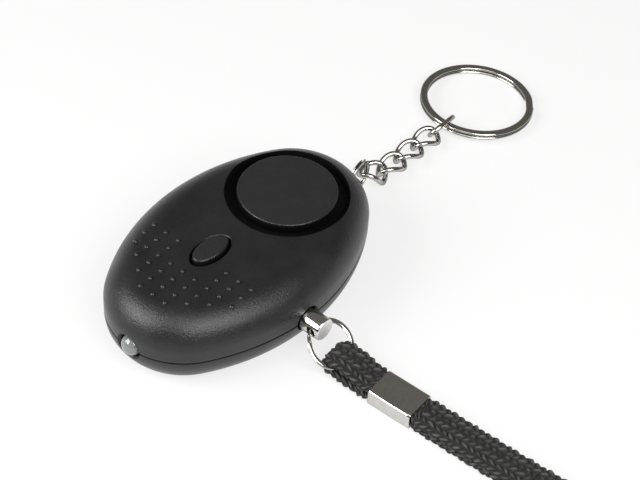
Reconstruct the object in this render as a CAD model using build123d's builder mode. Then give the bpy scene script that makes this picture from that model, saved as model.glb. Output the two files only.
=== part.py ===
from build123d import *
import math
import os

# Personal safety alarm: oval two-part case, pull pin with wrist strap, lamp button, siren,
# curb chain and key ring. Millimetres, +Z up, origin under the middle of the case on its flat back.
# The nose with the lamp points to -X, the chain leaves at +X and the pin leaves at -Y.

# Case
case_length = 70.0
case_width = 45.0
case_height = 19.3
case_end_radius = 17.3
parting_height = 9.2
axis_height = 9.0
shoulder_height = 2.6
top_round = case_height - parting_height - shoulder_height
back_round = 8.6
wall = 1.8
roof = 1.6
floor = 1.6
inner_bevel = 4.4
seam_depth = 0.25
seam_width = 0.3
overrun = 1.0
touch = 0.05

# Siren
siren_from_tail = 19.5
siren_x = case_length / 2 - siren_from_tail
siren_groove_radius = 14.0
siren_groove_depth = 3.0
groove_edge_round = 0.35
siren_cap_radius = 11.3
siren_cap_rise = 0.6
siren_cap_thickness = 2.0
siren_cap_edge = 0.25
siren_hub_radius = 4.5
siren_peg_radius = 1.5
siren_floor = 1.2
siren_collar = 1.2
sound_hole_radius = 1.1
sound_hole_ring = 7.8
sound_hole_count = 8
disc_radius = 11.5
disc_thickness = 0.25
disc_gap = 0.15
disc_shelf = 0.7
disc_drop = 0.8
collar_depth = 1.9
notch_width = 4.5
ceramic_radius = 8.0
ceramic_thickness = 0.2

# Lamp button and its switch
button_x = -9.6
button_length = 10.0
button_width = 5.2
button_rise = 0.9
button_edge = 0.35
button_gap = 0.55
button_travel = 0.6
button_flange = 1.3
button_flange_thickness = 0.8
button_flange_gap = 0.15
switch_size = 5.8
switch_height = 2.4
switch_bore_radius = 1.65
switch_fit = 0.15
switch_base = 0.5

# Grip dots: rows beside the long axis, each with a first place and a count
dot_pitch = 3.0
dot_row_pitch = 3.53
dot_from_nose = 7.8
dot_first_x = dot_from_nose - case_length / 2
dot_radius = 0.42
dot_height = 0.26
dot_taper = 28
dot_sides = 6
dot_rows = [(0, 0, 4), (1, 0, 4), (2, 1, 5), (3, 2, 4), (4, 3, 3)]

# Lamp
lamp_radius = 2.5
lamp_length = 8.6
lamp_rim_radius = 2.9
lamp_rim_thickness = 1.0
lamp_rise = 0.9
lamp_gap = 0.3
lamp_flare = 0.7
lead_width = 0.5
lead_pitch = 2.54
lead_fit = 0.1

# Circuit board and its parts
board_height = 12.0
board_thickness = 1.0
board_from_nose = 14.0
board_start_x = board_from_nose - case_length / 2
board_siren_gap = 0.75
board_end_x = siren_x - disc_radius - disc_gap - siren_collar - board_siren_gap
board_start_y = -14.0
board_cell_gap = 0.4
board_corner = 3.0
chip_x = -2.0
chip_y = -8.5
chip_radius = 3.0
chip_height = 1.1
transistor_x = -17.0
transistor_y = -9.5
transistor_radius = 2.3
transistor_height = 4.0
transistor_flat = 1.2
coil_x = -12.0
coil_y = -4.6
coil_core_radius = 2.6
coil_core_height = 6.0
coil_cheek = 0.8
coil_cheek_radius = 4.4
coil_radius = 4.0
coil_fit = 0.1
spring_leaf_thickness = 0.2
spring_leaf_width = 1.4
spring_leaf_reach = 5.0

# Button cells in one stack
cell_radius = 5.8
cell_height = 5.4
cell_cap_radius = 4.7
cell_cap_step = 0.4
cell_count = 3
stack_from_nose = 17.5
stack_start_x = stack_from_nose - case_length / 2
stack_from_side = 11.7
stack_y = case_width / 2 - stack_from_side
board_end_y = stack_y - cell_radius - board_cell_gap
cell_floor_gap = 0.3
cell_gap = 0.02
contact_thickness = 0.3
contact_width = 7.0
spring_wire = 0.5
spring_length = 2.6
spring_radius = 2.6
spring_tip_radius = 1.5
spring_turns = 2.5
cradle_thickness = 1.4
cradle_height = 8.0

# Screws
screw_shank_radius = 1.0
screw_head_radius = 1.9
screw_head_height = 1.3
screw_length = 9.0
screw_recess_depth = 3.4
screw_recess_gap = 0.2
screw_fit = 0.08
screw_boss_radius = 2.6
screw_slot_width = 0.5
screw_slot_depth = 0.6
nose_screw_inset = 11.0
nose_screw_x = nose_screw_inset - case_length / 2
nose_screw_from_side = 14.0
nose_screw_y = case_width / 2 - nose_screw_from_side
tail_screw_inset = 10.8
tail_screw_x = case_length / 2 - tail_screw_inset
tail_screw_from_side = 11.2
tail_screw_y = case_width / 2 - tail_screw_from_side

# Pull pin and its socket
pin_x = -2.9
pin_head_radius = 2.65
pin_head_reach = 4.9
pin_head_depth = 1.3
pin_head_edge = 0.35
pin_head_gap = 0.35
pin_mouth_flare = 0.5
pin_shaft_radius = 1.5
pin_shaft_length = 11.5
pin_tip_round = 0.8
pin_eye_inset = 2.15
pin_eye_radius = 1.12
pin_fit = 0.1
socket_width = 7.6
socket_length = 10.4
socket_below = 3.2
socket_gap = 1.1
leaf_slot_width = 2.4
leaf_thickness = 0.25
leaf_length = 8.0
leaf_gap = 0.05
leaf_spacing = 0.6

# Split ring through the pin
pin_ring_radius = 5.75
pin_ring_width = 0.9
pin_ring_turn = 0.43
pin_ring_tilt = 36.9
ring_slit = 0.04
ring_edge = 0.12
ring_jog = 1.6
pin_ring_clear = 0.36

# Wrist strap: flat braid, two layers through a crimp
strap_width = 6.8
strap_thickness = 1.6
strap_bevel = 0.4
strap_low_z = 1.35
strap_layer_gap = 0.1
strap_nose_radius = 1.88
strap_nose_from_ring = 1.25
ferrule_length = 10.9
ferrule_wall = 0.45
ferrule_fit = 0.05
ferrule_round = 0.7
ferrule_from_ring = 8.95
strap_yaw = 2.3
strap_drop_from_ring = 2.85
strap_enter_from_ring = 6.75
strap_part_from_ring = 66.6
strap_open_from_ring = 92.6
strap_join_from_ring = 100.6
strap_end_from_ring = 114.6
strap_end_z = 14.0
run_share = 0.45

# Tail eye and tail ring
eye_reach = 2.6
eye_x = case_length / 2 + eye_reach
eye_hole_radius = 1.9
eye_outer_radius = 3.1
eye_bottom = 4.2
eye_thickness = 2.6
eye_root_inset = 5.0
eye_root_x = case_length / 2 - eye_root_inset
tail_ring_radius = 4.2
tail_ring_width = 1.0
tail_ring_turn = 0.5
tail_ring_from_eye = 4.09
tail_ring_x = eye_x + tail_ring_from_eye
tail_ring_y = -0.08
tail_ring_z = 6.18
tail_ring_yaw = 7.5

# Curb chain: each link is an oval twisted along its length
link_wire_radius = 0.62
link_half_length = 4.1
link_half_width = 2.95
link_twist = 45.0
link_roll = -12.0
link_point_count = 8
link_section_count = 14
link_side_count = 8
chain_first_from_eye = 9.48
chain_first_x = eye_x + chain_first_from_eye
chain_first_y = -0.47
chain_first_z = 3.66
chain_first_pitch = 21.2
chain_first_roll = 11.9
chain_first_yaw = -11.4
chain_second_from_eye = 15.9
chain_second_x = eye_x + chain_second_from_eye
chain_pitch = 6.5
chain_y = -0.72
chain_drift = -0.12
chain_z = 2.02
end_link_from_eye = 35.03
end_link_x = eye_x + end_link_from_eye
end_link_y = -1.18
end_link_z = 2.68
end_link_half_width = 2.42
end_link_roll = -58.0

# Key ring
key_ring_from_eye = 49.45
key_ring_x = eye_x + key_ring_from_eye
key_ring_y = -1.43
key_ring_tilt = 3.5
key_ring_radius = 14.3
key_ring_width = 1.8
key_ring_turn = 0.98
key_ring_jog = 5.0
key_ring_slit = 0.06
key_ring_edge = 0.3
key_ring_split_angle = -38.0

os.makedirs("parts", exist_ok=True)


# Case outline: two end arcs and two side arcs, tangent to each other
end_centre = case_length / 2 - case_end_radius
side_radius = (end_centre**2 + (case_width / 2) ** 2 - case_end_radius**2) / (case_width - 2 * case_end_radius)
side_centre = side_radius - case_width / 2
meet_angle = math.atan2(side_centre, end_centre)


def oval(inset):
    end = case_end_radius - inset
    side = side_radius - inset
    corner = (end_centre + end * math.cos(meet_angle), end * math.sin(meet_angle))
    with BuildSketch() as outline:
        with BuildLine():
            for turn in (1, -1):
                ThreePointArc(
                    (turn * corner[0], -turn * corner[1]),
                    (turn * (end_centre + end), 0),
                    (turn * corner[0], turn * corner[1]),
                )
                ThreePointArc(
                    (turn * corner[0], turn * corner[1]),
                    (0, turn * (side - side_centre)),
                    (-turn * corner[0], turn * corner[1]),
                )
        make_face()
    return outline.sketch


# Distance from the outline, and the outer surface above a place
def inset_at(x, y):
    x, y = abs(x), abs(y)
    if x * side_centre > (y + side_centre) * end_centre:
        return case_end_radius - math.hypot(x - end_centre, y)
    return side_radius - math.hypot(x, y + side_centre)


def surface_plane(x, y):
    depth = top_round - inset_at(x, y)
    if depth <= 0:
        return Plane((x, y, case_height - touch))
    drop = math.sqrt(top_round**2 - depth**2)
    if abs(x) * side_centre > (abs(y) + side_centre) * end_centre:
        away = Vector(x - math.copysign(end_centre, x), y, 0)
    else:
        away = Vector(x, y + math.copysign(side_centre, y), 0)
    normal = away.normalized() * depth + Vector(0, 0, drop)
    return Plane((x, y, case_height - top_round + drop), z_dir=normal).offset(-touch)


def upright(x, y, z=0.0):
    return Plane((x, y, z))


# Hollow of one shell, with a bevel where the wall turns into the roof or floor
def hollow(start, end):
    with BuildPart() as core:
        with BuildSketch(upright(0, 0, min(start, end))):
            add(oval(wall))
        extrude(amount=abs(end - start))
        closed = core.faces().sort_by(Axis.Z)[-1 if end > start else 0]
        chamfer(closed.edges(), inner_bevel)
    return core.part


screw_places = [(nose_screw_x, nose_screw_y), (nose_screw_x, -nose_screw_y)]
screw_places += [(tail_screw_x, tail_screw_y), (tail_screw_x, -tail_screw_y)]
roof_z = case_height - roof
groove_z = case_height - siren_groove_depth
chamber_z = groove_z - siren_floor
shelf_z = chamber_z - disc_drop
collar_radius = disc_radius + disc_gap + siren_collar
button_hole_length = button_length + 2 * button_gap
button_hole_width = button_width + 2 * button_gap
lamp_hole_radius = lamp_radius + lamp_gap
pin_hole_radius = pin_head_radius + pin_head_gap
pin_wall_y = -(math.sqrt(side_radius**2 - pin_x**2) - side_centre)
pin_end_y = pin_wall_y - pin_head_reach
pin_root_y = pin_wall_y + pin_head_depth
axis_z = axis_height


# Holes through the wall at the parting plane: lamp in the nose, pin in the side
def wall_holes():
    nose = -case_length / 2
    with BuildPart() as holes:
        with BuildSketch(Plane((nose - overrun, 0, axis_z), z_dir=(1, 0, 0))):
            Circle(lamp_hole_radius)
        extrude(amount=overrun + wall + overrun)
        with BuildSketch(Plane((nose, 0, axis_z), z_dir=(-1, 0, 0))):
            Circle(lamp_hole_radius + lamp_flare)
        with BuildSketch(Plane((nose + lamp_flare, 0, axis_z), z_dir=(-1, 0, 0))):
            Circle(lamp_hole_radius)
        loft()
        with BuildSketch(Plane((pin_x, pin_wall_y - overrun, axis_z), z_dir=(0, 1, 0))):
            Circle(pin_hole_radius)
        extrude(amount=overrun + wall + overrun)
        with BuildSketch(Plane((pin_x, pin_wall_y - pin_mouth_flare, axis_z), z_dir=(0, 1, 0))):
            Circle(pin_hole_radius + 2 * pin_mouth_flare)
        with BuildSketch(Plane((pin_x, pin_wall_y + pin_mouth_flare, axis_z), z_dir=(0, 1, 0))):
            Circle(pin_hole_radius)
        loft()
    return holes.part


dot_planes = []
for row, first, count in dot_rows:
    for side in (1, -1) if row else (1,):
        for place in range(count):
            dot_planes.append(surface_plane(dot_first_x + (first + place) * dot_pitch, side * row * dot_row_pitch))

with BuildPart() as upper_case:
    with BuildSketch(upright(0, 0, parting_height)):
        add(oval(0))
    extrude(amount=case_height - parting_height)
    fillet(upper_case.faces().sort_by(Axis.Z)[-1].edges(), top_round)
    add(hollow(parting_height, roof_z), mode=Mode.SUBTRACT)
    # Siren chamber and its collar
    with BuildSketch(upright(siren_x, 0, chamber_z)):
        Circle(siren_groove_radius + siren_collar)
    extrude(amount=roof_z - chamber_z - touch)
    with BuildSketch(upright(siren_x, 0, shelf_z - collar_depth)):
        Circle(collar_radius)
        Circle(disc_radius + disc_gap, mode=Mode.SUBTRACT)
    extrude(amount=chamber_z - shelf_z + collar_depth)
    with BuildSketch(upright(siren_x, 0, shelf_z)):
        Circle(collar_radius)
        Circle(disc_radius - disc_shelf, mode=Mode.SUBTRACT)
    extrude(amount=chamber_z - shelf_z)
    with BuildSketch(upright(siren_x, 0, groove_z)):
        Circle(siren_groove_radius)
    extrude(amount=siren_groove_depth + overrun, mode=Mode.SUBTRACT)
    with BuildSketch(upright(siren_x, 0, chamber_z - overrun)):
        Circle(siren_peg_radius + touch)
        with PolarLocations(sound_hole_ring, sound_hole_count):
            Circle(sound_hole_radius)
    extrude(amount=siren_floor + 2 * overrun, mode=Mode.SUBTRACT)
    with BuildSketch(upright(siren_x - collar_radius, 0, shelf_z - collar_depth - overrun)):
        Rectangle(4 * siren_collar, 2 * notch_width)
    extrude(amount=overrun + collar_depth - disc_thickness - spring_leaf_thickness, mode=Mode.SUBTRACT)
    # Screw bosses with their pilot holes
    with BuildSketch(upright(0, 0, parting_height)):
        with Locations(*screw_places):
            Circle(screw_boss_radius)
    extrude(amount=shelf_z - parting_height + touch)
    with BuildSketch(upright(0, 0, parting_height - overrun)):
        with Locations(*screw_places):
            Circle(screw_shank_radius + screw_fit)
    extrude(amount=screw_recess_depth + screw_length - parting_height + 2 * overrun, mode=Mode.SUBTRACT)
    with BuildSketch(upright(0, 0, shelf_z)):
        with Locations(*screw_places[:2]):
            Circle(screw_boss_radius)
    extrude(amount=roof_z - shelf_z)
    # Button opening
    with BuildSketch(upright(button_x, 0, roof_z - overrun)):
        Ellipse(button_hole_length / 2, button_hole_width / 2)
    extrude(amount=roof + 2 * overrun, mode=Mode.SUBTRACT)
    add(wall_holes(), mode=Mode.SUBTRACT)
    # Grip dots
    with BuildSketch(*dot_planes):
        RegularPolygon(dot_radius, dot_sides)
    extrude(amount=dot_height + touch, taper=dot_taper)
upper_case.part.label = "upper_case"
export_step(upper_case.part, "parts/upper_case.step")

stack_end_x = stack_start_x + cell_count * (cell_height + cell_gap)
stack_z = floor + cell_floor_gap + cell_radius
plate_x = stack_start_x - contact_thickness
spring_plate_x = stack_end_x + spring_length

with BuildPart() as lower_case:
    with BuildSketch():
        add(oval(0))
    extrude(amount=parting_height - seam_width)
    fillet(lower_case.faces().sort_by(Axis.Z)[0].edges(), back_round)
    with BuildSketch(upright(0, 0, parting_height - seam_width)):
        add(oval(seam_depth))
    extrude(amount=seam_width)
    add(hollow(parting_height, floor), mode=Mode.SUBTRACT)
    # Tail eye for the ring
    with BuildSketch(upright(0, 0, eye_bottom)):
        with Locations(((eye_x + eye_root_x) / 2, 0)):
            Rectangle(eye_x - eye_root_x, 2 * eye_outer_radius)
        with Locations((eye_x, 0)):
            Circle(eye_outer_radius)
    extrude(amount=eye_thickness)
    with BuildSketch(upright(eye_x, 0, eye_bottom - overrun)):
        Circle(eye_hole_radius)
    extrude(amount=eye_thickness + 2 * overrun, mode=Mode.SUBTRACT)
    # Screw bosses
    with BuildSketch(upright(0, 0, floor - touch)):
        with Locations(*screw_places):
            Circle(screw_boss_radius)
    extrude(amount=parting_height - floor + touch)
    with BuildSketch(upright(0, 0, -overrun)):
        with Locations(*screw_places):
            Circle(screw_shank_radius + screw_fit)
    extrude(amount=parting_height + 2 * overrun, mode=Mode.SUBTRACT)
    with BuildSketch(upright(0, 0, -overrun)):
        with Locations(*screw_places):
            Circle(screw_head_radius + screw_recess_gap)
    extrude(amount=screw_recess_depth + overrun, mode=Mode.SUBTRACT)
    # Cradle walls at the ends of the cell stack
    with BuildSketch(upright(0, stack_y, floor - touch)):
        for wall_x in (plate_x - cradle_thickness / 2, spring_plate_x + contact_thickness + cradle_thickness / 2):
            with Locations((wall_x, 0)):
                Rectangle(cradle_thickness, contact_width)
    extrude(amount=cradle_height - floor + touch)
    add(wall_holes(), mode=Mode.SUBTRACT)
lower_case.part.label = "lower_case"
export_step(lower_case.part, "parts/lower_case.step")

# Siren cap on its hub
with BuildPart() as siren_cap:
    with BuildSketch(upright(siren_x, 0, case_height + siren_cap_rise - siren_cap_thickness)):
        Circle(siren_cap_radius)
    extrude(amount=siren_cap_thickness)
    chamfer(siren_cap.faces().sort_by(Axis.Z)[-1].edges(), siren_cap_edge)
    with BuildSketch(upright(siren_x, 0, groove_z)):
        Circle(siren_hub_radius)
    extrude(amount=case_height + siren_cap_rise - siren_cap_thickness - groove_z)
    with BuildSketch(upright(siren_x, 0, chamber_z)):
        Circle(siren_peg_radius)
    extrude(amount=siren_floor)
siren_cap.part.label = "siren_cap"
export_step(siren_cap.part, "parts/siren_cap.step")

# Sounder disc glued on the shelf of the collar, ceramic side down
with BuildPart() as piezo_brass_disc:
    with BuildSketch(upright(siren_x, 0, shelf_z - disc_thickness)):
        Circle(disc_radius)
    extrude(amount=disc_thickness)
piezo_brass_disc.part.label = "piezo_brass_disc"
export_step(piezo_brass_disc.part, "parts/piezo_brass_disc.step")

ceramic_z = shelf_z - disc_thickness - ceramic_thickness
with BuildPart() as piezo_ceramic_disc:
    with BuildSketch(upright(siren_x, 0, ceramic_z)):
        Circle(ceramic_radius)
    extrude(amount=ceramic_thickness)
piezo_ceramic_disc.part.label = "piezo_ceramic_disc"
export_step(piezo_ceramic_disc.part, "parts/piezo_ceramic_disc.step")

# Lamp button: oval cap with a flange that keeps it under the roof
flange_top_z = roof_z - button_flange_gap
flange_z = flange_top_z - button_flange_thickness
with BuildPart() as led_button:
    with BuildSketch(upright(button_x, 0, flange_top_z)):
        Ellipse(button_length / 2, button_width / 2)
    extrude(amount=case_height + button_rise - flange_top_z)
    chamfer(led_button.faces().sort_by(Axis.Z)[-1].edges(), button_edge)
    with BuildSketch(upright(button_x, 0, flange_z)):
        Ellipse(button_length / 2 + button_flange, button_width / 2 + button_flange)
    extrude(amount=button_flange_thickness)
led_button.part.label = "led_button"
export_step(led_button.part, "parts/led_button.step")

board_top = board_height + board_thickness
switch_top = board_top + switch_height
with BuildPart() as switch_frame:
    with BuildSketch(upright(button_x, 0, board_top)):
        Rectangle(switch_size, switch_size)
    extrude(amount=switch_height)
    with BuildSketch(upright(button_x, 0, board_top + switch_base)):
        Circle(switch_bore_radius)
    extrude(amount=switch_height, mode=Mode.SUBTRACT)
switch_frame.part.label = "switch_frame"
export_step(switch_frame.part, "parts/switch_frame.step")

with BuildPart() as switch_plunger:
    with BuildSketch(upright(button_x, 0, board_top + switch_base + button_travel + switch_fit)):
        Circle(switch_bore_radius - switch_fit)
    extrude(amount=flange_z - board_top - switch_base - button_travel - switch_fit)
switch_plunger.part.label = "switch_plunger"
export_step(switch_plunger.part, "parts/switch_plunger.step")

# Lamp: clear body with a domed end and a rim, standing in the nose
lamp_tip_x = -case_length / 2 - lamp_rise
with BuildPart() as led_lamp:
    with BuildSketch(Plane((lamp_tip_x, 0, axis_z), x_dir=(1, 0, 0), z_dir=(0, -1, 0))):
        with BuildLine():
            Line((0, 0), (lamp_length, 0))
            Line((lamp_length, 0), (lamp_length, lamp_rim_radius))
            Line((lamp_length, lamp_rim_radius), (lamp_length - lamp_rim_thickness, lamp_rim_radius))
            Line((lamp_length - lamp_rim_thickness, lamp_rim_radius), (lamp_length - lamp_rim_thickness, lamp_radius))
            Line((lamp_length - lamp_rim_thickness, lamp_radius), (lamp_radius, lamp_radius))
            RadiusArc((lamp_radius, lamp_radius), (0, 0), -lamp_radius)
        make_face()
    revolve(axis=Axis((0, 0, axis_z), (1, 0, 0)))
led_lamp.part.label = "led_lamp"
export_step(led_lamp.part, "parts/led_lamp.step")

# Lamp leads: straight out of the lamp, then up through the board
lamp_back_x = lamp_tip_x + lamp_length
lead_end_x = board_start_x + board_corner
with BuildPart() as led_leads:
    with BuildSketch(Plane((0, 0, 0), x_dir=(1, 0, 0), z_dir=(0, -1, 0))):
        with BuildLine():
            Polyline(
                (lamp_back_x, axis_z - lead_width / 2),
                (lead_end_x + lead_width / 2, axis_z - lead_width / 2),
                (lead_end_x + lead_width / 2, board_top + lead_width),
                (lead_end_x - lead_width / 2, board_top + lead_width),
                (lead_end_x - lead_width / 2, axis_z + lead_width / 2),
                (lamp_back_x, axis_z + lead_width / 2),
                close=True,
            )
        make_face()
    lead_profile = led_leads.pending_faces[0]
    extrude(amount=(lead_pitch + lead_width) / 2, both=True)
    with BuildSketch(Plane((0, 0, 0), x_dir=(1, 0, 0), z_dir=(0, -1, 0))):
        with Locations(((lamp_back_x + lead_end_x) / 2, (axis_z + board_top) / 2)):
            Rectangle(lead_end_x - lamp_back_x + 2 * overrun, board_top - axis_z + 4 * overrun)
    extrude(amount=(lead_pitch - lead_width) / 2, both=True, mode=Mode.SUBTRACT)
led_leads.part.label = "led_leads"
export_step(led_leads.part, "parts/led_leads.step")

# Circuit board with holes for the leads
with BuildPart() as circuit_board:
    with BuildSketch(upright((board_start_x + board_end_x) / 2, (board_start_y + board_end_y) / 2, board_height)):
        RectangleRounded(board_end_x - board_start_x, board_end_y - board_start_y, board_corner)
        with Locations(
            *[(lead_end_x - (board_start_x + board_end_x) / 2, side * lead_pitch / 2
               - (board_start_y + board_end_y) / 2) for side in (1, -1)]
        ):
            Circle(lead_width + lead_fit, mode=Mode.SUBTRACT)
    extrude(amount=board_thickness)
circuit_board.part.label = "circuit_board"
export_step(circuit_board.part, "parts/circuit_board.step")

# Driver chip under a low round cover
with BuildPart() as driver_chip:
    with BuildSketch(upright(chip_x, chip_y, board_top)):
        Circle(chip_radius)
    extrude(amount=chip_height / 2)
    with BuildSketch(upright(chip_x, chip_y, board_top + chip_height / 2)):
        Circle(chip_radius)
    extrude(amount=chip_height / 2, taper=math.degrees(math.atan2(chip_radius, chip_height)) / 2)
driver_chip.part.label = "driver_chip"
export_step(driver_chip.part, "parts/driver_chip.step")

with BuildPart() as driver_transistor:
    with BuildSketch(upright(transistor_x, transistor_y, board_top)):
        Circle(transistor_radius)
        with Locations((0, -transistor_flat - transistor_radius)):
            Rectangle(2 * transistor_radius, 2 * transistor_radius, mode=Mode.SUBTRACT)
    extrude(amount=transistor_height)
driver_transistor.part.label = "driver_transistor"
export_step(driver_transistor.part, "parts/driver_transistor.step")

# Step-up coil under the board
coil_bottom = board_height - coil_core_height
with BuildPart() as step_up_coil_core:
    for level in (coil_bottom, board_height - coil_cheek):
        with BuildSketch(upright(coil_x, coil_y, level)):
            Circle(coil_cheek_radius)
        extrude(amount=coil_cheek)
    with BuildSketch(upright(coil_x, coil_y, coil_bottom)):
        Circle(coil_core_radius)
    extrude(amount=coil_core_height)
step_up_coil_core.part.label = "step_up_coil_core"
export_step(step_up_coil_core.part, "parts/step_up_coil_core.step")

with BuildPart() as step_up_coil_winding:
    with BuildSketch(upright(coil_x, coil_y, coil_bottom + coil_cheek + coil_fit)):
        Circle(coil_radius)
        Circle(coil_core_radius + coil_fit, mode=Mode.SUBTRACT)
    extrude(amount=coil_core_height - 2 * coil_cheek - 2 * coil_fit)
step_up_coil_winding.part.label = "step_up_coil_winding"
export_step(step_up_coil_winding.part, "parts/step_up_coil_winding.step")

# Two leaf contacts from the board to the sounder: a foot, a slope and a tip on each
leaf_start_x = board_end_x - spring_leaf_reach
with BuildPart() as piezo_contact_springs:
    for leaf_y, tip_x, tip_z in ((0, siren_x - ceramic_radius + spring_leaf_width, ceramic_z),
                                 (-2 * spring_leaf_width, siren_x - disc_radius + 2 * spring_leaf_width, shelf_z - disc_thickness)):
        low, high = board_top, tip_z - spring_leaf_thickness
        with BuildSketch(Plane((0, leaf_y, 0), x_dir=(1, 0, 0), z_dir=(0, -1, 0))):
            with BuildLine():
                Polyline(
                    (leaf_start_x, low),
                    (board_end_x, low),
                    (tip_x - spring_leaf_width, high),
                    (tip_x, high),
                    (tip_x, high + spring_leaf_thickness),
                    (tip_x - spring_leaf_width, high + spring_leaf_thickness),
                    (board_end_x, low + spring_leaf_thickness),
                    (leaf_start_x, low + spring_leaf_thickness),
                    close=True,
                )
            make_face()
        extrude(amount=spring_leaf_width / 2, both=True)
piezo_contact_springs.part.label = "piezo_contact_springs"
export_step(piezo_contact_springs.part, "parts/piezo_contact_springs.step")

# Button cells, with the cap side towards the nose
for index in range(cell_count):
    start_x = stack_start_x + index * (cell_height + cell_gap)
    with BuildPart() as battery_cell:
        with BuildSketch(Plane((start_x + cell_cap_step, stack_y, stack_z), z_dir=(1, 0, 0))):
            Circle(cell_radius)
        extrude(amount=cell_height - cell_cap_step)
        with BuildSketch(Plane((start_x, stack_y, stack_z), z_dir=(1, 0, 0))):
            Circle(cell_cap_radius)
        extrude(amount=cell_cap_step)
    name = f"battery_cell_{index + 1}"
    battery_cell.part.label = name
    export_step(battery_cell.part, f"parts/{name}.step")

# Cell contacts: a flat plate and a conical spring on a plate, each with a tab to the board edge
tab_height = board_top + lead_width - stack_z
for name, face_x in (("battery_plate_contact", plate_x), ("battery_spring_contact", spring_plate_x)):
    with BuildPart() as contact:
        with BuildSketch(Plane((face_x, stack_y, stack_z), x_dir=(0, 1, 0), z_dir=(1, 0, 0))):
            Rectangle(contact_width, contact_width)
            with Locations((-(stack_y - board_end_y) / 2 + contact_width / 4, contact_width / 4)):
                Rectangle(stack_y - board_end_y + contact_width / 2 - lead_fit, contact_width / 2)
            tab_x = board_end_y + lead_fit - stack_y + spring_leaf_width / 2
            with Locations((tab_x, tab_height / 2)):
                Rectangle(spring_leaf_width, tab_height)
        extrude(amount=contact_thickness)
        if name == "battery_spring_contact":
            coil_length = spring_length - spring_wire / 2
            cone = math.degrees(math.atan2(spring_radius - spring_tip_radius, coil_length))
            with BuildLine():
                coil = Helix(
                    coil_length / spring_turns,
                    coil_length - spring_wire / 2,
                    spring_radius,
                    center=(spring_plate_x, stack_y, stack_z),
                    direction=(-1, 0, 0),
                    cone_angle=-cone,
                )
            with BuildSketch(Plane(coil @ 0, z_dir=coil % 0)):
                RegularPolygon(spring_wire / 2, dot_sides)
            sweep(path=coil, is_frenet=True)
    contact.part.label = name
    export_step(contact.part, f"parts/{name}.step")

# Screws from the back
with BuildPart() as case_screws:
    with BuildSketch(upright(0, 0, screw_recess_depth - screw_head_height)):
        with Locations(*screw_places):
            Circle(screw_head_radius)
    extrude(amount=screw_head_height)
    with BuildSketch(upright(0, 0, screw_recess_depth)):
        with Locations(*screw_places):
            Circle(screw_shank_radius)
    extrude(amount=screw_length)
    with BuildSketch(upright(0, 0, screw_recess_depth - screw_head_height)):
        with Locations(*screw_places):
            Rectangle(2 * screw_head_radius - 2 * screw_slot_width, screw_slot_width)
            Rectangle(screw_slot_width, 2 * screw_head_radius - 2 * screw_slot_width)
    extrude(amount=screw_slot_depth, mode=Mode.SUBTRACT)
case_screws.part.label = "case_screws"
export_step(case_screws.part, "parts/case_screws.step")

# Pull pin: knob outside the case, shaft inside, cross hole for the ring
eye_y = pin_end_y + pin_eye_inset
with BuildPart() as pull_pin:
    with BuildSketch(Plane((pin_x, pin_end_y, axis_z), z_dir=(0, 1, 0))):
        Circle(pin_head_radius)
    extrude(amount=pin_root_y - pin_end_y)
    chamfer(pull_pin.faces().sort_by(Axis.Y)[0].edges(), pin_head_edge)
    with BuildSketch(Plane((pin_x, pin_root_y, axis_z), z_dir=(0, 1, 0))):
        Circle(pin_shaft_radius)
    extrude(amount=pin_shaft_length)
    chamfer(pull_pin.faces().sort_by(Axis.Y)[-1].edges(), pin_tip_round)
    with BuildSketch(Plane((pin_x - pin_head_radius - overrun, eye_y, axis_z), z_dir=(1, 0, 0))):
        Circle(pin_eye_radius)
    extrude(amount=2 * (pin_head_radius + overrun), mode=Mode.SUBTRACT)
pull_pin.part.label = "pull_pin"
export_step(pull_pin.part, "parts/pull_pin.step")

# Socket under the board: bore for the pin and a slot for the leaf contact
socket_start_y = pin_root_y + socket_gap
socket_bottom = axis_z - socket_below
leaf_top = axis_z - pin_shaft_radius - leaf_gap
with BuildPart() as pin_socket:
    with BuildSketch(upright(pin_x, socket_start_y + socket_length / 2, socket_bottom)):
        Rectangle(socket_width, socket_length)
    extrude(amount=board_height - socket_bottom)
    with BuildSketch(Plane((pin_x, socket_start_y - overrun, axis_z), z_dir=(0, 1, 0))):
        Circle(pin_shaft_radius + pin_fit)
    extrude(amount=pin_root_y + pin_shaft_length + pin_fit - socket_start_y + overrun, mode=Mode.SUBTRACT)
    with BuildSketch(upright(pin_x, socket_start_y + socket_length / 2, socket_bottom - overrun)):
        Rectangle(leaf_slot_width, leaf_length + 2 * leaf_gap)
    extrude(amount=axis_z - socket_bottom + overrun, mode=Mode.SUBTRACT)
pin_socket.part.label = "pin_socket"
export_step(pin_socket.part, "parts/pin_socket.step")

with BuildPart() as pin_socket_contacts:
    for level in (leaf_top - leaf_thickness, leaf_top - 2 * leaf_thickness - leaf_spacing):
        with BuildSketch(upright(pin_x, socket_start_y + socket_length / 2, level)):
            Rectangle(leaf_slot_width - 2 * leaf_gap, leaf_length)
        extrude(amount=leaf_thickness)
pin_socket_contacts.part.label = "pin_socket_contacts"
export_step(pin_socket_contacts.part, "parts/pin_socket_contacts.step")


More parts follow.
